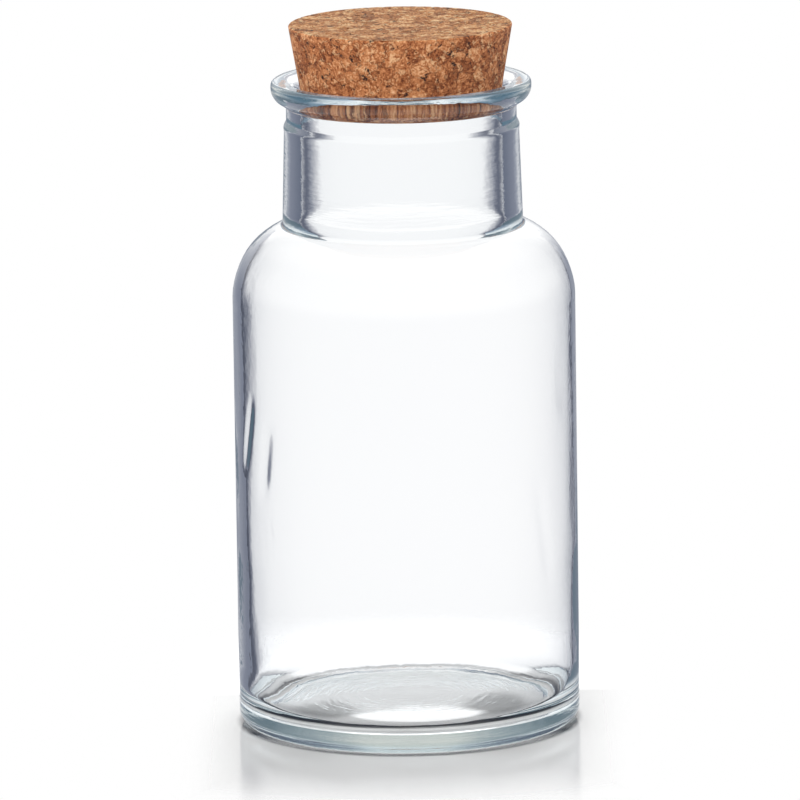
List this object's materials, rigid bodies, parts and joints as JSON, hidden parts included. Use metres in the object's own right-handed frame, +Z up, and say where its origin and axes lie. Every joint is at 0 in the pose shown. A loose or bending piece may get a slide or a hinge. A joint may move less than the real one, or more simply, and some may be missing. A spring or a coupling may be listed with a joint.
{
  "type": "glass jar with cork stopper",
  "caption": "Clear glass storage jar with a straight round body, a wide short neck and a rolled bead rim, closed by a tapered agglomerated cork stopper.",
  "frame": {"origin": "centre of the flat foot ring, on the surface that the jar stands on", "axes": "+Z up along the axis of the jar and of its cork; X and Y are alike, because the jar is round"},
  "size_m": [0.065, 0.065, 0.1344],
  "materials": {
    "clear_glass": "clear blown soda-lime glass, fire-polished rim",
    "agglomerated_cork": "cut and sanded agglomerated cork granules, matt"
  },
  "bodies": {
    "jar": {"glass_jar": "clear_glass"},
    "stopper": {"cork_stopper": "agglomerated_cork"}
  },
  "joints": [
    {"name": "cork_lift", "type": "slide", "parent": "jar", "child": "stopper", "axis": [0, 0, 1], "range_m": [0, 0.05]}
  ]
}
